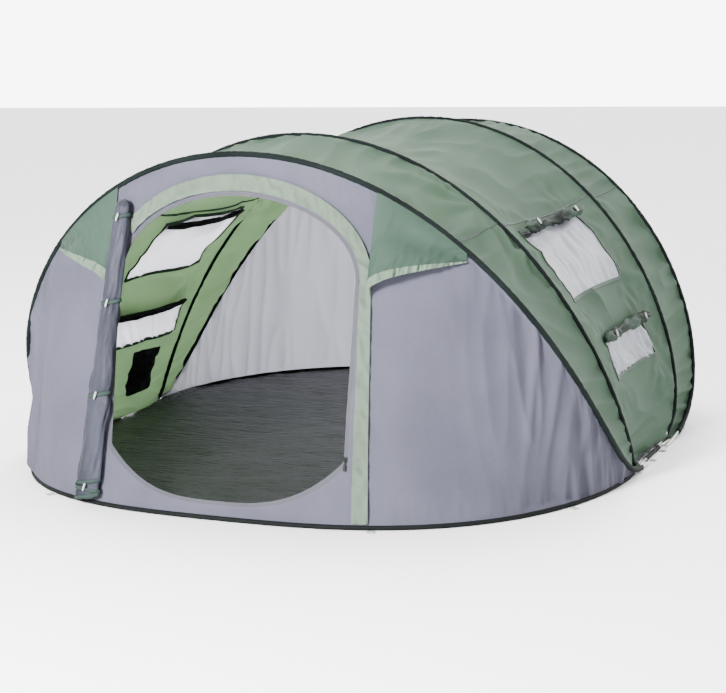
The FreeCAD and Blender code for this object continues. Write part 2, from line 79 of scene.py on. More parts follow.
CAMERA_LENS = 87.8
CAMERA_SPOT = (2.5819, -6.1519, 1.5088)
CAMERA_TURN = (0.4025, -0.1728, -0.0187)


def place_camera():
    """The viewpoint, turned by yaw, pitch and roll from a level look along +Y."""
    data = bpy.data.cameras.new("camera")
    data.sensor_width = 36.0
    data.lens = CAMERA_LENS
    data.clip_end = 100.0
    camera = bpy.data.objects.new("camera", data)
    bpy.context.scene.collection.objects.link(camera)
    yaw, pitch, roll = CAMERA_TURN
    ahead = Vector((-math.sin(yaw) * math.cos(pitch), math.cos(yaw) * math.cos(pitch), math.sin(pitch)))
    right = ahead.cross(Vector((0, 0, 1))).normalized()
    up = right.cross(ahead)
    across = right * math.cos(roll) + up * math.sin(roll)
    above = up * math.cos(roll) - right * math.sin(roll)
    turn = Matrix((across, above, -ahead)).transposed()
    camera.matrix_world = Matrix.Translation(CAMERA_SPOT) @ turn.to_4x4()
    bpy.context.scene.camera = camera


# ---- materials ----

def node(tree, kind, **values):
    made = tree.nodes.new(kind)
    for key, value in values.items():
        if key in made.inputs:
            made.inputs[key].default_value = value
        else:
            setattr(made, key, value)
    return made


def material(name, colour, rough=0.75, shine=0.12, through=0.0, glow=None, crease=0.0, crease_scale=9.0,
             mottle=0.08, metal=0.0, alpha=1.0, stretch=(1.0, 1.0, 1.0)):
    """Cloth, film, metal or plastic. through is the share of light that passes, in the colour glow."""
    made = bpy.data.materials.new(name)
    made.use_nodes = True
    tree = made.node_tree
    shader = tree.nodes["Principled BSDF"]
    shader.inputs["Roughness"].default_value = rough
    shader.inputs["Specular IOR Level"].default_value = shine
    shader.inputs["Metallic"].default_value = metal
    shader.inputs["Alpha"].default_value = alpha
    place = node(tree, "ShaderNodeTexCoord")
    scale = node(tree, "ShaderNodeMapping", Scale=stretch)
    tree.links.new(place.outputs["Object"], scale.inputs["Vector"])
    patches = node(tree, "ShaderNodeTexNoise", Scale=5.0, Detail=3.0, Roughness=0.55)
    tree.links.new(scale.outputs["Vector"], patches.inputs["Vector"])
    ramp = node(tree, "ShaderNodeValToRGB")
    dark = [c * (1 - mottle) for c in colour]
    light = [min(c * (1 + mottle), 1.0) for c in colour]
    ramp.color_ramp.elements[0].position = 0.35
    ramp.color_ramp.elements[0].color = (*dark, 1)
    ramp.color_ramp.elements[1].position = 0.65
    ramp.color_ramp.elements[1].color = (*light, 1)
    tree.links.new(patches.outputs["Fac"], ramp.inputs["Fac"])
    tree.links.new(ramp.outputs["Color"], shader.inputs["Base Color"])
    if crease:
        folds = node(tree, "ShaderNodeTexNoise", Scale=crease_scale, Detail=6.0, Roughness=0.6)
        tree.links.new(scale.outputs["Vector"], folds.inputs["Vector"])
        bump = node(tree, "ShaderNodeBump", Strength=crease, Distance=0.02)
        tree.links.new(folds.outputs["Fac"], bump.inputs["Height"])
        tree.links.new(bump.outputs["Normal"], shader.inputs["Normal"])
    if through:
        passed = node(tree, "ShaderNodeBsdfTranslucent", Color=(*(glow or colour), 1))
        blend = node(tree, "ShaderNodeMixShader", Fac=through)
        tree.links.new(shader.outputs["BSDF"], blend.inputs[1])
        tree.links.new(passed.outputs["BSDF"], blend.inputs[2])
        out = tree.nodes["Material Output"]
        tree.links.new(blend.outputs["Shader"], out.inputs["Surface"])
    return made


LILAC = material("front_lilac", (0.064, 0.064, 0.086), rough=0.6, shine=0.06, crease=0.3, through=0.07,
                 glow=(0.3, 0.3, 0.38))
LILAC_INSIDE = material("front_inside", (0.16, 0.16, 0.18), crease=0.2, through=0.07, glow=(0.3, 0.3, 0.38))
SAGE = material("outer_green", (0.052, 0.081, 0.063), rough=0.65, shine=0.05, crease=0.3, through=0.35,
                glow=(0.42, 0.60, 0.45))
# Green of the vent hoods, made darker than the outer green as painted shade for the hollow in each hood's
# middle.
GUSSET_WITH_PAINTED_SHADE = material("gusset_green", (0.032, 0.055, 0.041), rough=0.6, shine=0.08, crease=0.35, through=0.08,
                  glow=(0.15, 0.25, 0.19))
HEM = material("hem_green", (0.10, 0.14, 0.10), crease=0.4, crease_scale=40, through=0.08)
LINING = material("lining_green", (0.22, 0.30, 0.15), crease=0.25, through=0.5, glow=(0.80, 0.97, 0.62))
FLAP = material("flap_green", (0.080, 0.108, 0.080), crease=0.2, crease_scale=18, through=0.06)
BACK_GREY = material("back_grey", (0.27, 0.27, 0.29), crease=0.15, through=0.45, glow=(0.80, 0.80, 0.86))
SLEEVE = material("sleeve", (0.004, 0.0065, 0.006), rough=0.75, shine=0.06, crease=0.3, crease_scale=60,
                  mottle=0.3)
PIPING = material("piping", (0.005, 0.006, 0.006), rough=0.75, shine=0.06)
SEAM = material("seam_tape", (0.03, 0.05, 0.036), rough=0.7)
FLOOR = material("floor", (0.011, 0.0115, 0.0115), rough=0.33, shine=0.5, crease=1.0, crease_scale=14.0,
                 mottle=0.3, stretch=(1.0, 4.0, 1.0))
FILM = material("film", (0.42, 0.42, 0.47), rough=0.25, shine=0.4, alpha=0.6, crease=0.15, crease_scale=14,
                mottle=0.04, through=0.5, glow=(0.95, 0.95, 1.0))
MESH = material("mesh", (0.004, 0.004, 0.0045), rough=0.8, mottle=0.3, crease=0.3, crease_scale=120)
ROLL_GREY = material("roll_grey", (0.020, 0.021, 0.029), rough=0.45, shine=0.08, crease=0.5, crease_scale=18,
                     mottle=0.5, stretch=(1.0, 1.0, 0.3))
COVER_GREEN = material("cover_green", (0.016, 0.028, 0.020), rough=0.6, shine=0.03, crease=0.5,
                       crease_scale=30, mottle=0.8)
TIE = material("tie", (0.018, 0.030, 0.026), crease=0.2, crease_scale=60)
TOGGLE = material("toggle", (0.30, 0.30, 0.29), rough=0.35, shine=0.4)
WEBBING = material("webbing", (0.38, 0.38, 0.36), crease=0.2, crease_scale=90)
ROD = material("rod", (0.45, 0.45, 0.42), rough=0.35, shine=0.4)
FERRULE = material("ferrule", (0.45, 0.45, 0.45), rough=0.3, metal=1.0)
ZIP = material("zip", (0.045, 0.045, 0.055), rough=0.5, crease=0.2, crease_scale=200)
SLIDER = material("slider", (0.01, 0.01, 0.01), rough=0.35, metal=0.6)


# ---- the hoops and the cloth between them ----

def signed_power(value, exponent):
    return np.sign(value) * np.abs(value) ** exponent


def unit(vectors):
    return vectors / np.linalg.norm(vectors, axis=-1, keepdims=True)


class Hoop:
    """A bent rod. u runs from -1 at the left corner, through 0 at the crown, to 1 at the right corner.

    reach is the crown's distance from the middle and rise its height. sweep is half the angle the rod turns
    through, across and up are the powers that square off its outline, and lean bends it out of a plane.
    lag moves the panels' seams along it near the corners, and side is -1 in front and 1 behind.
    """

    def __init__(self, half_width, reach, rise, sweep, across, up, lean, lag, side):
        self.half_width = half_width
        self.reach = reach
        self.rise = rise
        self.sweep = sweep
        self.across = across
        self.up = up
        self.lean = lean
        self.lag = lag
        self.side = side

    def point(self, u):
        u = np.asarray(u, float)
        angle = u * self.sweep
        foot = signed_power(math.cos(self.sweep), self.up)
        share = np.maximum((signed_power(np.cos(angle), self.up) - foot) / (1 - foot), 0)
        x = self.half_width * signed_power(np.sin(angle), self.across)
        x = x / math.sin(self.sweep) ** self.across
        y = self.side * (CORNER_Y + (self.reach - CORNER_Y) * share ** self.lean)
        return np.stack([x, y, RING_Z + self.rise * share], -1)

    def place(self, u):
        """Where a panel's u meets the hoop."""
        u = np.asarray(u, float)
        return self.point(u - np.copysign(self.lag * np.abs(u / 0.9) ** 4, u))

    def squareness(self, u, direction):
        along = unit(self.place(u + 0.002) - self.place(u - 0.002))
        cosine = np.sum(along * direction, -1, keepdims=True)
        return np.maximum(np.sqrt(np.maximum(1 - cosine ** 2, 0)), 0.35)


def front_and_back(half_width, reach, rise, sweep, across, up, lean, lag=0.0):
    return [Hoop(half_width, reach, rise, sweep, across, up, lean, lag, side) for side in (-1, 1)]


HOOP_1, HOOP_4 = front_and_back(1.114, 1.074, 1.141, 1.652, 0.985, 1.18, 0.369)
HOOP_2, HOOP_3 = front_and_back(1.083, 0.594, 1.173, 1.71, 0.99, 1.237, 0.33)
RING_FRONT, RING_BACK = front_and_back(RING_HALF_WIDTH, DEPTH / 2 - SLEEVE_R, 0.0, 1.745, 0.70, 0.965, 1.0,
                                       lag=0.1)


class Span:
    """The cloth between two hoops. v runs from 0 at the first to 1 at the second."""

    def __init__(self, first, second, sag_share, bodies, settles=False):
        self.first = first
        self.second = second
        self.sag_share = sag_share
        self.bodies = bodies
        self.settles = settles

    def straight(self, u, v):
        u, v = np.broadcast_arrays(np.asarray(u, float), np.asarray(v, float))
        a = self.first.place(u)
        b = self.second.place(u)
        across = unit(b - a)
        start = a + across * TUCK / self.first.squareness(u, across)
        end = b - across * TUCK / self.second.squareness(u, across)
        return start + (end - start) * v[..., None]

    def outward(self, u, v):
        step = 0.004
        along = self.straight(u + step, v) - self.straight(u - step, v)
        across = self.straight(u, v + step) - self.straight(u, v - step)
        normal = unit(np.cross(along, across))
        facing = np.sum(normal * (self.straight(u, v) - TENT_MIDDLE), -1, keepdims=True)
        return np.where(facing < 0, -normal, normal)

    def width(self, u):
        return np.linalg.norm(self.first.place(u) - self.second.place(u), axis=-1)

    def point(self, u, v, out=0.0):
        sag = self.sag_share * self.width(u) * 4 * v * (1 - v)
        return self.straight(u, v) + self.outward(u, v) * (out - sag)[..., None]

    def find(self, first_value, second_value, axes, guess):
        """The u and v of the cloth where two of its coordinates have these values."""
        one = np.asarray(first_value, float)
        two = np.asarray(second_value, float)
        u = np.full(one.shape, guess[0]) if np.isscalar(guess[0]) else guess[0].copy()
        v = np.full(one.shape, guess[1]) if np.isscalar(guess[1]) else guess[1].copy()
        p, q = axes
        step = 1e-4
        for _ in range(30):
            here = self.point(u, v, 0.0 * u)
            du = (self.point(u + step, v, 0.0 * u) - here) / step
            dv = (self.point(u, v + step, 0.0 * u) - here) / step
            miss_p = one - here[..., p]
            miss_q = two - here[..., q]
            area = du[..., p] * dv[..., q] - dv[..., p] * du[..., q]
            u = u + np.clip((miss_p * dv[..., q] - dv[..., p] * miss_q) / area, -0.2, 0.2)
            v = v + np.clip((du[..., p] * miss_q - miss_p * du[..., q]) / area, -0.2, 0.2)
        return u, v

    def weight(self, v, z):
        """How far a point follows the second hoop's body. Low cloth of the middle follows it less."""
        v = np.clip(v, 0, 1)
        if self.settles:
            return v ** (1 + 5 * np.clip(1 - z / 0.35, 0, 1))
        return v


FRONT = Span(RING_FRONT, HOOP_1, -0.008, ("base_front", "hoop_1"))
FRONT_STRIP = Span(HOOP_1, HOOP_2, 0.04, ("hoop_1", "middle"))
MIDDLE = Span(HOOP_2, HOOP_3, 0.04, ("middle", "hoop_3"), settles=True)
REAR_STRIP = Span(HOOP_3, HOOP_4, 0.04, ("hoop_3", "hoop_4"))
BACK = Span(HOOP_4, RING_BACK, -0.008, ("hoop_4", "base_back"))


def at_xz(x, z):
    """u and v of the front panel at this x and z."""
    x = np.asarray(x, float)
    z = np.asarray(z, float)
    return FRONT.find(x, z, (0, 2), (x / 1.4, z / 1.2))


def at_yz(y, z):
    """u and v of the right-hand side panel at this y and z."""
    y = np.asarray(y, float)
    z = np.asarray(z, float)
    return MIDDLE.find(y, z, (1, 2), (0.95 - 0.6 * z, 0.5 + 0.9 * y))


# ---- relief of the cloth ----

def waves(a, b, seed, length, count=12):
    """Smooth ripples between about -1 and 1, the same on every run."""
    draw = np.random.default_rng(seed)
    total = 0.0
    for _ in range(count):
        turn = draw.uniform(0, math.tau)
        rate = math.tau / (length * draw.uniform(0.6, 1.5))
        total = total + np.sin(rate * (a * math.cos(turn) + b * math.sin(turn)) + draw.uniform(0, math.tau))
    return total / math.sqrt(count)


def creases(a, b, seed, length):
    """Narrow ridges between soft valleys."""
    return 0.6 - 1.6 * np.abs(waves(a, b, seed, length)) ** 0.8


def near(distance, reach):
    return np.exp(-(distance / reach) ** 2)


def edge_window(v, reach=0.05):
    return np.clip(np.minimum(v, 1 - v) / reach, 0, 1) ** 0.7


HALF_LENGTH = 1.75


def taut(span, seed, swell, crease, pucker):
    """Relief of cloth pulled between two hoops: swells, creases across and puckers along the seams."""
    def relief(u, v):
        s = u * HALF_LENGTH
        t = v * span.width(u)
        rest = span.width(u) - t
        at_seams = np.exp(-t / 0.07) + np.exp(-rest / 0.07)
        height = swell * waves(s, t * 0.7, seed, 0.45)
        height = height + crease * creases(s, t * 0.22, seed + 1, 0.16)
        height = height + pucker * waves(s, t * 0.15, seed + 2, 0.045) * at_seams
        return height * edge_window(v)
    return relief


def fan(u, v, span, centre, reach, count):
    """Creases that spread from one place of a span, the same on both sides of the tent."""
    along = (np.abs(u) - centre[0]) * HALF_LENGTH
    across = (v - centre[1]) * span.width(u)
    away = np.hypot(along, across)
    return np.sin(count * np.arctan2(along, across)) * near(away, reach) * np.minimum(away / 0.12, 1) ** 2


# ---- meshes ----

def vertex_normals(points, faces):
    normals = np.zeros_like(points)
    for triangle in ((0, 1, 2),) if faces.shape[1] == 3 else ((0, 1, 2), (0, 2, 3)):
        a, b, c = (points[faces[:, k]] for k in triangle)
        face = np.cross(b - a, c - a)
        for k in triangle:
            np.add.at(normals, faces[:, k], face)
    return unit(normals + 1e-12)


def rim_edges(faces):
    corners = faces.shape[1]
    edges = np.concatenate([faces[:, [k, (k + 1) % corners]] for k in range(corners)])
    _, first, count = np.unique(np.sort(edges, 1), axis=0, return_index=True, return_counts=True)
    return edges[first[count == 1]]


def put(name, points, faces, materials, slots=None, sharp=None):
    mesh = bpy.data.meshes.new(name)
    mesh.from_pydata(np.asarray(points).tolist(), [], [tuple(int(i) for i in face) for face in faces])
    for made in materials:
        mesh.materials.append(made)
    mesh.polygons.foreach_set("use_smooth", [True] * len(mesh.polygons))
    if slots is not None:
        mesh.polygons.foreach_set("material_index", slots)
    if sharp is not None:
        wanted = {tuple(sorted(edge)) for edge in sharp}
        marks = [tuple(sorted(edge.vertices)) in wanted for edge in mesh.edges]
        mesh.attributes.new("sharp_edge", "BOOLEAN", "EDGE").data.foreach_set("value", marks)
    mesh.update()
    obj = bpy.data.objects.new(name, mesh)
    bpy.context.scene.collection.objects.link(obj)
    return obj


def two_faced(name, points, faces, facing, outside, inside, thick=CLOTH):
    """A thin closed sheet, outside material on the side that faces the given way."""
    faces = np.asarray(faces)
    normals = vertex_normals(points, faces)
    if np.sum(normals * facing) < 0:
        faces = faces[:, ::-1]
        normals = -normals
    count = len(points)
    rim = rim_edges(faces)
    both = np.concatenate([points + normals * thick / 2, points - normals * thick / 2])
    sides = [tuple(face) for face in faces] + [tuple(face[::-1] + count) for face in faces]
    walls = [(b, a, a + count, b + count) for a, b in rim]
    slots = [0] * len(faces) + [1] * len(faces) + [0] * len(walls)
    sharp = [(int(a), int(b)) for a, b in rim] + [(int(a) + count, int(b) + count) for a, b in rim]
    return put(name, both, sides + walls, [outside, inside], slots, sharp)


def follow(obj, span, v):
    """Bakes the piece's placement into its mesh and works out how far each point would follow the second
    hoop's body; these weights are not used.
    """
    heights = np.array([vertex.co.z for vertex in obj.data.vertices])
    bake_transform(obj)
    weights = span.weight(np.broadcast_to(v, heights.shape), heights)


def line_length(points):
    return float(np.linalg.norm(np.diff(points, axis=0), axis=1).sum())


def flat_size(span, u, v):
    """The rectangle that a piece of the span is cut from: along the hoops, and across."""
    run = np.linspace(u.min(), u.max(), 300)
    rows = [span.point(run, np.full(run.shape, level), 0.0 * run)
            for level in np.linspace(v.min(), v.max(), 9)]
    return max(line_length(row) for row in rows), float(span.width(run).max() * np.ptp(v))


def cloth(name, span, pattern, outside, inside, relief=None, out=0.0, sheet=True,
          thick=CLOTH, flat=None):
    """A sheet on a span, from a pattern of (u, v) points and faces, lifted by out and its relief."""
    uv, faces = pattern
    u, v = uv[:, 0], uv[:, 1]
    lift = out + (relief(u, v) if relief else 0.0 * u)
    points = span.point(u, v, lift)
    obj = two_faced(name, points, faces, span.outward(u, v), outside, inside, thick)
    follow(obj, span, np.tile(v, 2))
    if sheet:
        flat = flat or flat_size(span, u, v)
    return obj


def grid(u_low, u_high, v_low, v_high, columns, rows):
    u, v = np.meshgrid(np.linspace(u_low, u_high, columns), np.linspace(v_low, v_high, rows), indexing="ij")
    index = np.arange(columns * rows).reshape(columns, rows)
    faces = np.stack([index[:-1, :-1], index[1:, :-1], index[1:, 1:], index[:-1, 1:]], -1).reshape(-1, 4)
    return np.stack([u.ravel(), v.ravel()], -1), faces


def even_points(corners, spacing):
    """Points at even distances round a loop of corners."""
    corners = np.asarray(corners, float)
    corners = np.vstack([corners, corners[:1]])
    lengths = np.concatenate([[0], np.cumsum(np.linalg.norm(np.diff(corners, axis=0), axis=1))])
    count = max(int(lengths[-1] / spacing), 3)
    wanted = np.linspace(0, lengths[-1], count + 1)[:-1]
    return np.stack([np.interp(wanted, lengths, corners[:, k]) for k in range(corners.shape[1])], -1)


def inside_of(points, outline):
    within = np.zeros(len(points), bool)
    x, y = points[:, 0], points[:, 1]
    for (x0, y0), (x1, y1) in zip(outline, np.roll(outline, -1, 0)):
        if y0 == y1:
            continue
        crosses = (y0 > y) != (y1 > y)
        within ^= crosses & (x < (x1 - x0) * (y - y0) / (y1 - y0) + x0)
    return within


def filled(outline, holes, spacing=0.012, scale=(HALF_LENGTH, 1.15)):
    """A triangle pattern that fills an outline in u and v, less its holes."""
    scale = np.asarray(scale)
    loops = [even_points(np.asarray(loop) * scale, spacing) for loop in [outline, *holes]]
    low = loops[0].min(0)
    high = loops[0].max(0)
    rows = np.arange(low[1], high[1], spacing * 0.87)
    inner = []
    for k, y in enumerate(rows):
        x = np.arange(low[0] + (k % 2) * spacing / 2, high[0], spacing)
        inner.append(np.stack([x, np.full(x.shape, y)], -1))
    inner = np.concatenate(inner)
    keep = inside_of(inner, loops[0])
    for loop in loops[1:]:
        keep &= ~inside_of(inner, loop)
    inner = inner[keep]
    border = np.concatenate(loops)
    far = np.ones(len(inner), bool)
    for start in range(0, len(border), 200):
        gaps = inner[:, None, :] - border[None, start:start + 200, :]
        far &= (np.sum(gaps ** 2, -1) > (0.45 * spacing) ** 2).all(1)
    points = np.concatenate([border, inner[far]])
    edges = []
    start = 0
    for loop in loops:
        count = len(loop)
        edges += [(start + k, start + (k + 1) % count) for k in range(count)]
        start += count
    found = delaunay_2d_cdt([Vector(p) for p in points.tolist()], edges, [], 0, 1e-7)
    corners = np.array([tuple(p) for p in found[0]])
    faces = np.array([tuple(face) for face in found[2]])
    middles = corners[faces].mean(1)
    keep = inside_of(middles, loops[0])
    for loop in loops[1:]:
        keep &= ~inside_of(middles, loop)
    return corners / scale, faces[keep]


def turning_frames(path):
    """Two directions square to a path at each point, turning as little as they can."""
    ahead = unit(np.gradient(path, axis=0))
    side = np.cross(ahead[0], (0.0, 0.0, 1.0))
    if np.linalg.norm(side) < 0.1:
        side = np.cross(ahead[0], (1.0, 0.0, 0.0))
    sides = [side / np.linalg.norm(side)]
    for along in ahead[1:]:
        side = sides[-1] - along * np.dot(sides[-1], along)
        sides.append(side / np.linalg.norm(side))
    sides = np.array(sides)
    return sides, np.cross(ahead, sides)


def limb(name, path, radii, made):
    """A closed tube along a path. radii holds one radius for each point and each corner of its rings."""
    path = np.asarray(path, float)
    sides, ups = turning_frames(path)
    stations, corners = radii.shape
    turn = np.arange(corners) * math.tau / corners
    rings = (path[:, None, :] + (radii * np.cos(turn))[..., None] * sides[:, None, :]
             + (radii * np.sin(turn))[..., None] * ups[:, None, :])
    points = np.concatenate([rings.reshape(-1, 3), path[:1], path[-1:]])
    faces = []
    for i in range(stations - 1):
        for k in range(corners):
            a, b = i * corners + k, i * corners + (k + 1) % corners
            faces.append((a, b, b + corners, a + corners))
    first, last = stations * corners, stations * corners + 1
    top = (stations - 1) * corners
    for k in range(corners):
        faces.append((first, (k + 1) % corners, k))
        faces.append((last, top + k, top + (k + 1) % corners))
    return put(name, points, faces, [made])


def rolled(stations, corners, radius, seed, lumps, turns=5, ends=0.08):
    """Radii of rolled cloth: its layers' edges, lumps and rounded ends."""
    along = np.linspace(0, 1, stations)[:, None]
    turn = (np.arange(corners) * math.tau / corners)[None, :]
    base = np.interp(along[:, 0], np.linspace(0, 1, len(radius)), radius)[:, None]
    layers = 0.05 * np.sin(turns * turn + 9 * along + 2 * waves(along * 3, 0 * along, seed + 5, 1.0))
    bumps = waves(along * 6 + np.cos(turn), np.sin(turn) + 0 * along, seed, 0.9)
    closed = np.minimum(1, np.sqrt(np.minimum(along, 1 - along) / ends + 0.02))
    return base * (1 + layers + lumps * bumps) * closed


def peg(name, centre, along, length, radius, made):
    """A toggle with rounded ends."""
    share = np.linspace(0, 1, 13)
    path = np.asarray(centre) + np.outer((share - 0.5) * length, unit(np.asarray(along, float)))
    profile = radius * np.sqrt(np.clip(1 - np.abs(2 * share - 1) ** 4, 0.01, 1))
    return limb(name, path, np.repeat(profile[:, None], 10, 1), made)


# ---- outlines ----

def door_loop(inset):
    """x and z round the door: arched top, upright sides and a dipped sill."""
    half = DOOR_HALF_WIDTH - inset
    rise = DOOR_TOP_Z - inset - DOOR_SPRING_Z
    turn = np.linspace(0, math.pi, 40)
    arch = np.stack([half * np.cos(turn), DOOR_SPRING_Z + rise * np.sin(turn)], -1)
    x = np.linspace(-half, half, 30)
    sill = np.stack([x, SILL_LOW_Z + SILL_RISE * np.abs(x / half) ** 3 + inset], -1)
    return even_points(np.vstack([arch, sill]), 0.012)


def vent_loop(shrink):
    """x and z round the right-hand vent."""
    corners = [(HOOD_INNER_X + 0.022, HOOD_INNER_Z + 0.050)]
    for place in HOOP_1.point(np.linspace(0.268, 0.418, 7)):
        corners.append((place[0] * 0.962, place[2] * 0.962))
    corners = np.array(corners)
    middle = corners.mean(0)
    return middle + (corners - middle) * shrink


def to_front(loop):
    u, v = at_xz(loop[:, 0], loop[:, 1])
    return np.stack([u, v], -1)


def flip(loop):
    return loop * np.array([-1, 1])


def frame_loop(u_end):
    """The whole front or back panel."""
    side = np.linspace(-u_end, u_end, 200)
    low = np.stack([side, np.zeros(side.shape)], -1)
    return np.vstack([low, (low + (0, 1))[::-1]])


place_camera()


# ---- front panel ----

def front_relief(u, v):
    s = u * HALF_LENGTH
    t = v * FRONT.width(u)
    rest = FRONT.width(u) - t
    height = 0.005 * waves(s, t, 11, 0.5)
    sides = np.clip((np.abs(u) - 0.36) / 0.2, 0, 1)
    height = height + 0.007 * sides * creases(s, t * 0.12, 12, 0.15)
    fold = near(u + 0.52 + 0.05 * (v - 0.4), 0.018) - 0.5 * near(u + 0.56 + 0.05 * (v - 0.4), 0.03)
    height = height + 0.026 * fold * np.clip(1.2 - v, 0, 1)
    for k, centre in enumerate((0.60, 0.66, 0.71, 0.77, 0.82)):
        line = centre - 0.10 * (1 - v)
        height = height + (0.013 - 0.0010 * k) * near(u - line, 0.010 + 0.002 * k) * near(v - 0.62, 0.36)
    at_seams = np.exp(-t / 0.05) + np.exp(-rest / 0.06)
    height = height + 0.0022 * waves(s, t * 0.2, 13, 0.045) * at_seams
    return height * edge_window(v, 0.03)


U_END = 0.997
SIDE_FOOT_U = 0.9995
door = to_front(door_loop(0.0))
vents = [to_front(vent_loop(1.0)), flip(to_front(vent_loop(1.0)))]
front_pattern = filled(frame_loop(U_END), [door, *vents])
front_panel = cloth("front_panel_cloth", FRONT, front_pattern, LILAC, LILAC_INSIDE, front_relief)
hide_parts("front_panel")

zip_loop = to_front(door_loop(ZIP_WIDTH))
zip_band = cloth("door_zip_tape", FRONT, filled(door, [zip_loop], 0.006), ZIP, ZIP, front_relief, sheet=False)
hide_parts("door_zip")


# ---- storm flap ----

FLAP_WIDTH = 0.052


def flap_loop():
    over = np.linspace(0, math.radians(152), 40)

    def bow(half_width, top):
        return np.stack([half_width * np.cos(over),
                         DOOR_SPRING_Z + (top - DOOR_SPRING_Z) * np.sin(over)], -1)

    inner = bow(DOOR_HALF_WIDTH + 0.002, DOOR_TOP_Z + 0.003)
    outer = bow(DOOR_HALF_WIDTH + 0.036, DOOR_TOP_Z + 0.003 + FLAP_WIDTH)
    foot = 2.4 * SLEEVE_R
    start = [(DOOR_HALF_WIDTH + 0.022, foot), (DOOR_HALF_WIDTH + 0.072, foot)]
    return np.vstack([start, outer, inner[::-1]])


def flap_relief(u, v):
    s = u * HALF_LENGTH
    t = v * FRONT.width(u)
    return front_relief(u, v) + 0.004 * creases(s * 1.6, t, 61, 0.10) + 0.0012 * waves(s, t, 62, 0.05)


flap_edge = to_front(even_points(flap_loop(), 0.01))
flap_girth = line_length(FRONT.point(flap_edge[:, 0], flap_edge[:, 1], 0.0 * flap_edge[:, 0]))
flap = cloth("rain_flap_cloth", FRONT, filled(flap_edge, [], 0.007), FLAP, FLAP, flap_relief, out=0.011,
             flat=(flap_girth / 2 - FLAP_WIDTH, FLAP_WIDTH))
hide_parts("rain_flap")


# ---- vents and their hoods ----

def hood_pattern(columns=70, rows=40, low=0.0, high=1.0):
    """u, v and the hood's own t (along its hem) and w (from hoop 1 down to the hem)."""
    t, w = np.meshgrid(np.linspace(0, 1, columns), np.linspace(low, high, rows), indexing="ij")
    top = FRONT.point(0.255 + 0.19 * HOOD_SHARE * t, 1.0 + 0 * t, 0 * t)
    hem_x = HOOD_INNER_X + (HOOD_OUTER_X - HOOD_INNER_X) * HOOD_SHARE * t
    hem_z = HOOD_INNER_Z + HOOD_HEM_RISE * (HOOD_SHARE * t) ** 0.45
    x = top[..., 0] + (hem_x - top[..., 0]) * w
    z = top[..., 2] + (hem_z - top[..., 2]) * w
    u, v = at_xz(x.ravel(), z.ravel())
    index = np.arange(columns * rows).reshape(columns, rows)
    faces = np.stack([index[:-1, :-1], index[1:, :-1], index[1:, 1:], index[:-1, 1:]], -1).reshape(-1, 4)
    return np.stack([u, v], -1), faces, t.ravel(), w.ravel()


def hood_lift(t, w):
    bow = np.sin(math.pi * np.clip(t, 0, 1) ** 0.7)
    gape = HOOD_STANDOFF * 0.95 * bow + 0.024 * (1 - t) ** 2
    rise = 0.007 + gape * w ** 2 + 0.050 * bow * w * (1 - w)
    dent = -0.012 * near(t - 0.42, 0.26) * near(w - 0.45, 0.2)
    ruffle = 0.0035 * waves(t * 0.33, w * 0.06, 71, 0.035) * w ** 3
    ridges = 0.004 * creases(t * 0.5 + w * 0.2, w * 0.1, 72, 0.12) * w
    return np.maximum(rise + dent + ruffle + ridges, 0.006)


for place, sign in (("right", 1), ("left", -1)):
    uv, faces, t, w = hood_pattern()
    hood = cloth("vent_hood_" + place + "_cloth", FRONT, (uv * (sign, 1), faces), GUSSET_WITH_PAINTED_SHADE, GUSSET_WITH_PAINTED_SHADE,
                 lambda u, v: hood_lift(t, w))
    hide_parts("vent_hood_" + place)
    uv, faces, t, w = hood_pattern(120, 8, 0.90, 1.02)
    hem = cloth("vent_hem_" + place, FRONT, (uv * (sign, 1), faces), HEM, HEM,
                lambda u, v: hood_lift(t, w) + 0.003 + 0.003 * waves(t * 0.33, w * 0.02, 73, 0.02),
                sheet=False)
    mesh_loop = to_front(vent_loop(0.995)) * (sign, 1)
    gauze = cloth("vent_mesh_" + place + "_gauze", FRONT, filled(mesh_loop, [], 0.014), MESH, MESH,
                  front_relief, thick=FILM_THICK)
    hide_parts("vent_mesh_" + place)


# ---- rolled door ----

ROLL_TOP_Z = 1.000
ROLL_FOOT_Z = 0.024
ROLL_BEHIND = 0.0125
TIE_HEIGHTS = (0.945, 0.668, 0.369, 0.070)


def roll_centre(z):
    share = 1 - z / ROLL_TOP_Z
    half_wide = 0.029 + 0.016 * share
    half_deep = 0.024 - 0.005 * share
    x = -0.415 - 0.078 * share ** 1.2
    u, v = at_xz(x, z)
    y = FRONT.point(u, v, 0 * u)[..., 1]
    return np.stack([x, y - half_deep - ROLL_BEHIND, z], -1), half_wide, half_deep, v


def door_roll():
    stations, corners = 150, 40
    z = np.linspace(ROLL_TOP_Z, ROLL_FOOT_Z, stations)
    centre, wide, deep, v = roll_centre(z)
    turn = np.arange(corners) * math.tau / corners
    shape = rolled(stations, corners, [1, 1], 81, 0.06, turns=7, ends=0.02)
    pinch = 1 - 0.16 * sum(near(z - tie, 0.016) for tie in TIE_HEIGHTS)
    drape = 1 + 0.08 * waves(z * 3, 0 * z, 82, 0.9)
    size = shape * (pinch * drape)[:, None] * 0.96
    ring = np.stack([size * wide[:, None] * np.cos(turn), size * deep[:, None] * np.sin(turn), 0 * size], -1)
    points = (centre[:, None, :] + ring).reshape(-1, 3)
    index = np.arange(stations * corners).reshape(stations, corners)
    after = np.roll(index, -1, 1)
    faces = np.stack([index[:-1], after[:-1], after[1:], index[1:]], -1).reshape(-1, 4).tolist()
    faces = [tuple(face) for face in faces]
    faces.append(tuple(index[0][::-1].tolist()))
    faces.append(tuple(index[-1].tolist()))
    roll = put("door_roll_cloth", points, faces, [ROLL_GREY])
    follow(roll, FRONT, np.repeat(v, corners))
    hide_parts("door_roll")


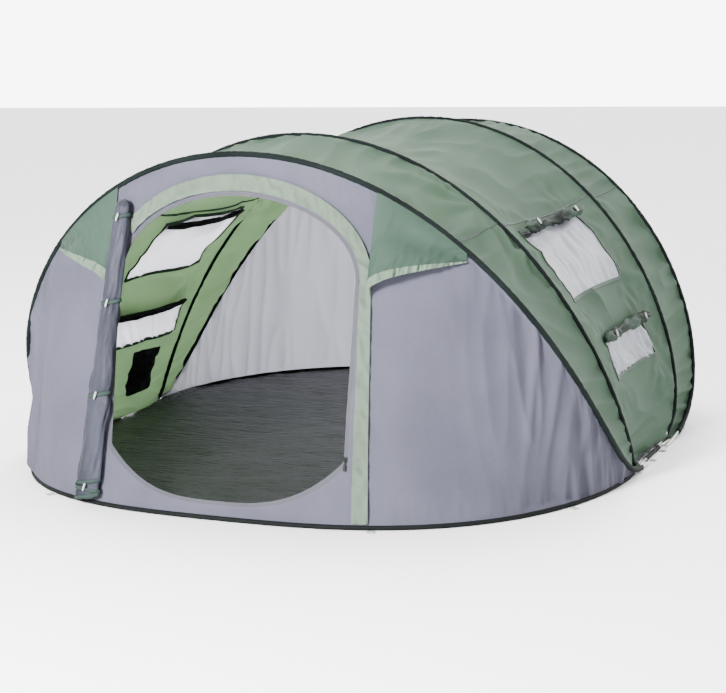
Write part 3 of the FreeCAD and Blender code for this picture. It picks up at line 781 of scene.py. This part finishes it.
def band(name, centre, wide, deep, height, made, lean=0.0, slack=0.0015, thick=0.0012):
    """A tape round a roll: a closed loop of ribbon."""
    corners = 36
    turn = np.arange(corners) * math.tau / corners
    rows = []
    for level, extra in ((-0.5, 0.0), (0.5, 0.0), (0.5, thick), (-0.5, thick)):
        x = (wide + slack + extra) * np.cos(turn)
        y = (deep + slack + extra) * np.sin(turn)
        rows.append(np.stack([centre[0] + x, centre[1] + y, centre[2] + level * height + lean * x], -1))
    points = np.concatenate(rows)
    faces = []
    for row in range(4):
        for k in range(corners):
            ahead = (k + 1) % corners
            below = ((row + 1) % 4) * corners
            faces.append((row * corners + k, row * corners + ahead, below + ahead, below + k))
    return put(name, points, faces, [made])


door_roll()
BOTTOM_TIES = (0.036, 0.060, 0.084)
TIE_LEAN = 0.18
TIE_WIDE = 0.013
TOGGLE_LONG = 0.030
TOGGLE_R = 0.0035
for number, z in enumerate(TIE_HEIGHTS):
    centre, wide, deep, v = roll_centre(np.array(z))
    heights = BOTTOM_TIES if number == len(TIE_HEIGHTS) - 1 else (z,)
    for k, level in enumerate(heights):
        middle, wide, deep, v = roll_centre(np.array(level))
        tie = band("door_tie_%d_%d" % (number + 1, k + 1), middle, wide, deep, TIE_WIDE, TIE,
                   lean=TIE_LEAN * (-1) ** k)
        follow(tie, FRONT, v)
    front = centre + np.array([0, -(deep + 0.0092), 0])
    made = peg("door_toggle_%d" % (number + 1), front, (0.35, 0, 0.94), TOGGLE_LONG, TOGGLE_R, TOGGLE)
    follow(made, FRONT, v)
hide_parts("door_ties")
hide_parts("door_toggles")


# ---- strips, roof, sides and back ----

def strip_relief(span, seed, inner_edge):
    """A strip's relief, with creases that spread from where the roof panel's seam meets it."""
    plain = taut(span, seed, 0.006, 0.008, 0.0045)

    def relief(u, v):
        spread = fan(u, v, span, (ROOF_SEAM_U - 0.04, inner_edge), 0.28, 11)
        return plain(u, v) + 0.008 * spread * edge_window(v)
    return relief


STRIP_RELIEFS = {
    "front_strip": strip_relief(FRONT_STRIP, 21, 1.0),
    "rear_strip": strip_relief(REAR_STRIP, 31, 0.0),
}
for name, span in (("front_strip", FRONT_STRIP), ("rear_strip", REAR_STRIP)):
    made = cloth(name + "_cloth", span, grid(-U_END, U_END, 0, 1, 340, 60), SAGE, LINING,
                 STRIP_RELIEFS[name])
    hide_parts(name)

UPPER_WINDOW = [(-0.325, 0.838), (0.325, 0.838), (0.305, 0.605), (-0.305, 0.605)]
LOWER_WINDOW = [(-0.265, 0.446), (0.300, 0.446), (0.290, 0.322), (-0.250, 0.322)]
plain_middle = taut(MIDDLE, 41, 0.008, 0.006, 0.0045)
WINDOW_CORNERS = [tuple(float(found) for found in at_yz(np.array(y), np.array(z)))
                  for y, z in UPPER_WINDOW + LOWER_WINDOW]


def middle_relief(u, v):
    height = plain_middle(u, v)
    for corner in WINDOW_CORNERS:
        height = height + 0.005 * fan(u, v, MIDDLE, corner, 0.13, 9) * edge_window(v)
    return height


roof = cloth("roof_cloth", MIDDLE, grid(-ROOF_SEAM_U, ROOF_SEAM_U, 0, 1, 130, 100), SAGE, LINING,
             middle_relief)
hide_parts("roof_panel")

back = cloth("back_cloth", BACK, grid(-U_END, U_END, 0, 1, 300, 90), BACK_GREY, BACK_GREY,
             taut(BACK, 51, 0.008, 0.009, 0.003))
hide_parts("back_panel")


def window_loop(corners, inset=0.0):
    middle = np.mean(corners, 0)
    moved = np.array([corner - np.sign(corner - middle) * inset for corner in np.array(corners)])
    line = even_points(moved, 0.012)
    u, v = at_yz(line[:, 0], line[:, 1])
    return np.stack([u, v], -1)


def pane_relief(u, v):
    """Creases that spread from the rolled cover's ties, finer in the lower panes."""
    s = u * HALF_LENGTH
    t = v * MIDDLE.width(u)
    pleats = waves(t - 0.25 * np.abs(s), 0.12 * s, 44, 0.045) * (np.abs(u) > 0.6)
    return middle_relief(u, v) + 0.002 * creases(s * 0.25 + 0.3 * t, t, 44, 0.09) + 0.005 * pleats


side_outline = np.array([(ROOF_SEAM_U, 0), (SIDE_FOOT_U, 0), (SIDE_FOOT_U, 1), (ROOF_SEAM_U, 1)])
windows = {"upper": UPPER_WINDOW, "lower": LOWER_WINDOW}
side_uv, side_faces = filled(side_outline, [window_loop(corners) for corners in windows.values()])
for place, sign in (("right", 1), ("left", -1)):
    made = cloth("side_" + place + "_cloth", MIDDLE, (side_uv * (sign, 1), side_faces), SAGE, LINING,
                 middle_relief)
    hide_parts("side_panel_" + place)
    for level, corners in windows.items():
        uv, faces = filled(window_loop(corners), [])
        pane = cloth("window_" + level + "_" + place + "_film", MIDDLE, (uv * (sign, 1), faces), FILM, FILM,
                     pane_relief, thick=FILM_THICK)
        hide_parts("window_" + level + "_" + place)
        edge_uv, edge_faces = filled(window_loop(corners, -0.007), [window_loop(corners, 0.004)], 0.006)
        tape = cloth("window_tape_" + level + "_" + place, MIDDLE, (edge_uv * (sign, 1), edge_faces), SEAM,
                     SEAM, middle_relief, thick=0.007, sheet=False)

SEAM_HALF_U = 0.002
SEAM_THICK = 0.006
for sign, place in ((1, "right"), (-1, "left")):
    for name, span in (("front_strip", FRONT_STRIP), ("middle", MIDDLE), ("rear_strip", REAR_STRIP)):
        seam_u = sign * ROOF_SEAM_U
        relief = STRIP_RELIEFS.get(name, middle_relief)
        pattern = grid(seam_u - SEAM_HALF_U, seam_u + SEAM_HALF_U, 0.01, 0.99, 3, 60)
        tape = cloth("seam_" + name + "_" + place, span, pattern, SEAM, SEAM, relief, thick=SEAM_THICK,
                     sheet=False)


# ---- rolled window covers and meshes ----

COVERS = {"upper": (0.424, 0.19, 0.83), "lower": (0.667, 0.18, 0.84)}
COVER_RADII = [0.013, 0.021, 0.020, 0.014, 0.019, 0.024, 0.021, 0.015]
COVER_LIFT = 0.027
MESH_RADII = [0.008, 0.012, 0.011, 0.012, 0.011, 0.008]
MESH_LIFT = -0.016
TIE_RADII = np.array([0.014, 0.018, 0.0182, 0.0182, 0.018, 0.014])
COVER_TIE_WIDE = 0.011
ROLL_STATIONS = 70
COVER_CORNERS = 20
MESH_CORNERS = 16
mesh_number = 0
for level, (u, v_low, v_high) in COVERS.items():
    for place, sign in (("right", 1), ("left", -1)):
        share = np.linspace(0, 1, ROLL_STATIONS)
        v = v_low + (v_high - v_low) * share
        lift = COVER_LIFT + 0.003 * waves(share * 4, 0 * share, 90 + mesh_number, 1.0)
        path = MIDDLE.point(sign * (u + 0 * v), v, lift)
        radii = rolled(ROLL_STATIONS, COVER_CORNERS, COVER_RADII, 91 + mesh_number, 0.26)
        squeeze = 1 - 0.3 * (near(share - 0.17, 0.03) + near(share - 0.83, 0.03))
        roll = limb("cover_roll_" + level + "_" + place + "_cloth", path, radii * squeeze[:, None],
                    COVER_GREEN)
        follow(roll, MIDDLE, np.append(np.repeat(v, COVER_CORNERS), [v[0], v[-1]]))
        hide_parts("cover_roll_" + level + "_" + place)
        path = MIDDLE.point(sign * (u + 0.006 + 0 * v), v, MESH_LIFT + 0 * v)
        radii = rolled(ROLL_STATIONS, MESH_CORNERS, MESH_RADII, 95 + mesh_number, 0.14)
        roll = limb("mesh_roll_" + level + "_" + place + "_gauze", path, radii, MESH)
        follow(roll, MIDDLE, np.append(np.repeat(v, MESH_CORNERS), [v[0], v[-1]]))
        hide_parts("mesh_roll_" + level + "_" + place)
        for k, part in enumerate((1 / 6, 5 / 6)):
            here = v_low + (v_high - v_low) * part
            spot = MIDDLE.point(np.array(sign * u), np.array(here), np.array(COVER_LIFT))
            step = MIDDLE.point(np.array(sign * u), np.array(here + 0.01), np.array(COVER_LIFT))
            along = unit(step - spot)
            out = MIDDLE.outward(np.array(sign * u), np.array(here))
            ring = spot + np.outer((np.linspace(0, 1, 6) - 0.5) * COVER_TIE_WIDE, along)
            tie = limb("cover_tie_%s_%s_%d" % (level, place, k + 1), ring,
                       np.repeat(TIE_RADII[:, None], COVER_CORNERS, 1), TIE)
            follow(tie, MIDDLE, here)
            made = peg("cover_toggle_%s_%s_%d" % (level, place, k + 1), spot + out * 0.0225,
                       np.cross(out, along) + 0.4 * along, 0.028, TOGGLE_R, TOGGLE)
            follow(made, MIDDLE, here)
        mesh_number += 7
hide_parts("cover_ties")
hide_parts("cover_toggles")


# ---- sleeves ----

SLEEVE_STATIONS = 420
SLEEVE_CORNERS = 12


def sleeve(name, hoop, body, u_end, seed, nodes):
    """The puckered sleeve round a hoop, with its stations at even distances."""
    u = np.linspace(-u_end, u_end, SLEEVE_STATIONS)
    path = hoop.point(u)
    run = np.concatenate([[0], np.cumsum(np.linalg.norm(np.diff(path, axis=0), axis=1))])
    even = np.linspace(0, run[-1], SLEEVE_STATIONS)
    path = np.stack([np.interp(even, run, path[:, k]) for k in range(3)], -1)
    turn = (np.arange(SLEEVE_CORNERS) * math.tau / SLEEVE_CORNERS)[None, :]
    along = even[:, None]
    puckers = (waves(along, 0.02 * np.cos(turn), seed, 0.03)
               + waves(along, 0.01 * np.sin(turn), seed + 1, 0.012))
    tube = limb(name, path, SLEEVE_R * (1.2 + 0.06 * puckers), SLEEVE)
    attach(tube, body)
    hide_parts(*nodes)


for number, hoop, body, u_end in ((1, HOOP_1, "hoop_1", 0.997), (2, HOOP_2, "middle", 0.997),
                                  (3, HOOP_3, "hoop_3", 0.985), (4, HOOP_4, "hoop_4", 0.99)):
    sleeve("hoop_%d_sleeve_cloth" % number, hoop, body, u_end, 100 + number, ["hoop_%d_sleeve" % number])

# ---- floor ----

FLOOR_LEVEL = 0.0058
RIM_START = 1.045           # the floor turns up towards the sides from this distance
RIM_WIDE = 0.03
RIM_HIGH = 0.012


def crinkles(x, y):
    return FLOOR_LEVEL + 0.0014 * creases(x * 0.3, y, 121, 0.05) + 0.0012 * waves(x * 0.5, y, 122, 0.2)


def floor_sheet(name, x, y, body):
    columns, rows = x.shape
    rim_rise = RIM_HIGH * np.clip((np.abs(x) - RIM_START) / RIM_WIDE, 0, 1) ** 2
    points = np.stack([x, y, crinkles(x, y) + rim_rise], -1).reshape(-1, 3)
    index = np.arange(columns * rows).reshape(columns, rows)
    faces = np.stack([index[:-1, :-1], index[1:, :-1], index[1:, 1:], index[:-1, 1:]], -1).reshape(-1, 4)
    up = np.tile([0.0, 0.0, 1.0], (len(points), 1))
    made = two_faced(name + "_sheet", points, faces, up, FLOOR, FLOOR, CLOTH)
    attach(made, body)
    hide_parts(name)


half_floor_x = RING_HALF_WIDTH - SLEEVE_R - SEAM_GAP
for name, ring, body in (("floor_front", RING_FRONT, "base_front"), ("floor_back", RING_BACK, "base_back")):
    share = np.linspace(-1, 1, 260)[:, None]
    step = np.linspace(0, 1, 150)[None, :]
    rim = ring.point(0.985 * share[:, 0]) * (1 - (SLEEVE_R + SEAM_GAP) / RING_HALF_WIDTH, 0.992, 1)
    x = half_floor_x * share * (1 - step) + rim[:, :1] * step
    y = ring.side * CORNER_Y * (1 - step) + rim[:, 1:2] * step
    floor_sheet(name, x, y, body)
x, y = np.meshgrid(np.linspace(-half_floor_x, half_floor_x, 260), np.linspace(-CORNER_Y, CORNER_Y, 30),
                   indexing="ij")
floor_sheet("floor_middle", x, y, "middle")


# ---- storage pocket ----

POCKET = [(-0.07, 0.285), (0.13, 0.285), (0.13, 0.095), (-0.07, 0.095)]


def pocket_relief(u, v):
    across = np.clip((v - v.min()) / np.ptp(v), 0, 1)
    down = np.clip((np.abs(u) - np.abs(u).min()) / np.ptp(u), 0, 1)
    belly = np.sin(math.pi * across) * np.sin(math.pi * (0.12 + 0.88 * down))
    stand_off = 0.014 + 0.014 * belly + 0.0015 * waves(u * 1.6, v * 0.6, 131, 0.05)
    return middle_relief(u, v) - stand_off


pocket_uv, pocket_faces = filled(window_loop(POCKET), [], 0.008)
pocket = cloth("storage_pocket_mesh", MIDDLE, (pocket_uv * (-1, 1), pocket_faces), MESH, MESH, pocket_relief,
               thick=0.001)
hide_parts("storage_pocket")

# ---- CAD nodes that stay ----

KEPT = {
    ROD: ["hoop_1_rods", "hoop_2_rods", "hoop_3_rods", "hoop_4_rods", "base_front_rods", "base_back_rods",
          "side_rods"],
    FERRULE: ["hoop_1_ferrules", "hoop_2_ferrules", "hoop_3_ferrules", "hoop_4_ferrules",
              "base_front_ferrules", "base_back_ferrules"],
    PIPING: ["base_front_sleeve", "base_back_sleeve", "side_sleeves"],
    WEBBING: ["peg_loops_front", "peg_loops_back", "corner_loops"],
    SLIDER: ["zip_slider", "zip_pull"],
}
for made, names in KEPT.items():
    for name in names:
        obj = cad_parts[name]
        obj.data.materials.clear()
        obj.data.materials.append(made)

# ---- ground and light ----


def studio_world():
    """White behind the tent and dimmer in front of it."""
    world = bpy.data.worlds.new("studio")
    world.use_nodes = True
    tree = world.node_tree
    shade = tree.nodes["Background"]
    place = node(tree, "ShaderNodeTexCoord")
    split = node(tree, "ShaderNodeSeparateXYZ")
    ramp = node(tree, "ShaderNodeValToRGB")
    half = node(tree, "ShaderNodeMath", operation="MULTIPLY_ADD")
    half.inputs[1].default_value = 0.5
    half.inputs[2].default_value = 0.5
    ramp.color_ramp.elements[0].position = 0.5
    ramp.color_ramp.elements[0].color = (0.06, 0.06, 0.063, 1)
    ramp.color_ramp.elements[1].position = 0.8
    ramp.color_ramp.elements[1].color = (1, 1, 1, 1)
    tree.links.new(place.outputs["Generated"], split.inputs["Vector"])
    tree.links.new(split.outputs["Y"], half.inputs[0])
    tree.links.new(half.outputs["Value"], ramp.inputs["Fac"])
    tree.links.new(ramp.outputs["Color"], shade.inputs["Color"])
    shade.inputs["Strength"].default_value = 8.0
    bpy.context.scene.world = world


def stage():
    size = 30.0
    mesh = bpy.data.meshes.new("ground")
    mesh.from_pydata([(-size, -size, -0.001), (size, -size, -0.001), (size, size, -0.001),
                      (-size, size, -0.001)], [], [(0, 1, 2, 3)])
    ground = bpy.data.objects.new("ground", mesh)
    bpy.context.scene.collection.objects.link(ground)
    mesh.materials.append(material("ground_pale", (0.93, 0.93, 0.93), rough=0.95, mottle=0.0))
    studio_world()
    for name, spot, aim, width, power in (
            ("key", (-0.5, -6.6, 2.6), (0.1, 0, 0.5), 1.0, 1900.0),
            ("top", (-1.5, 1.5, 6.5), (0, 0, 0.4), 2.5, 350.0)):
        data = bpy.data.lights.new(name, "AREA")
        data.size = width
        data.energy = power
        lamp = bpy.data.objects.new(name, data)
        bpy.context.scene.collection.objects.link(lamp)
        lamp.location = spot
        lamp.rotation_euler = (Vector(aim) - Vector(spot)).to_track_quat("-Z", "Y").to_euler()


stage()
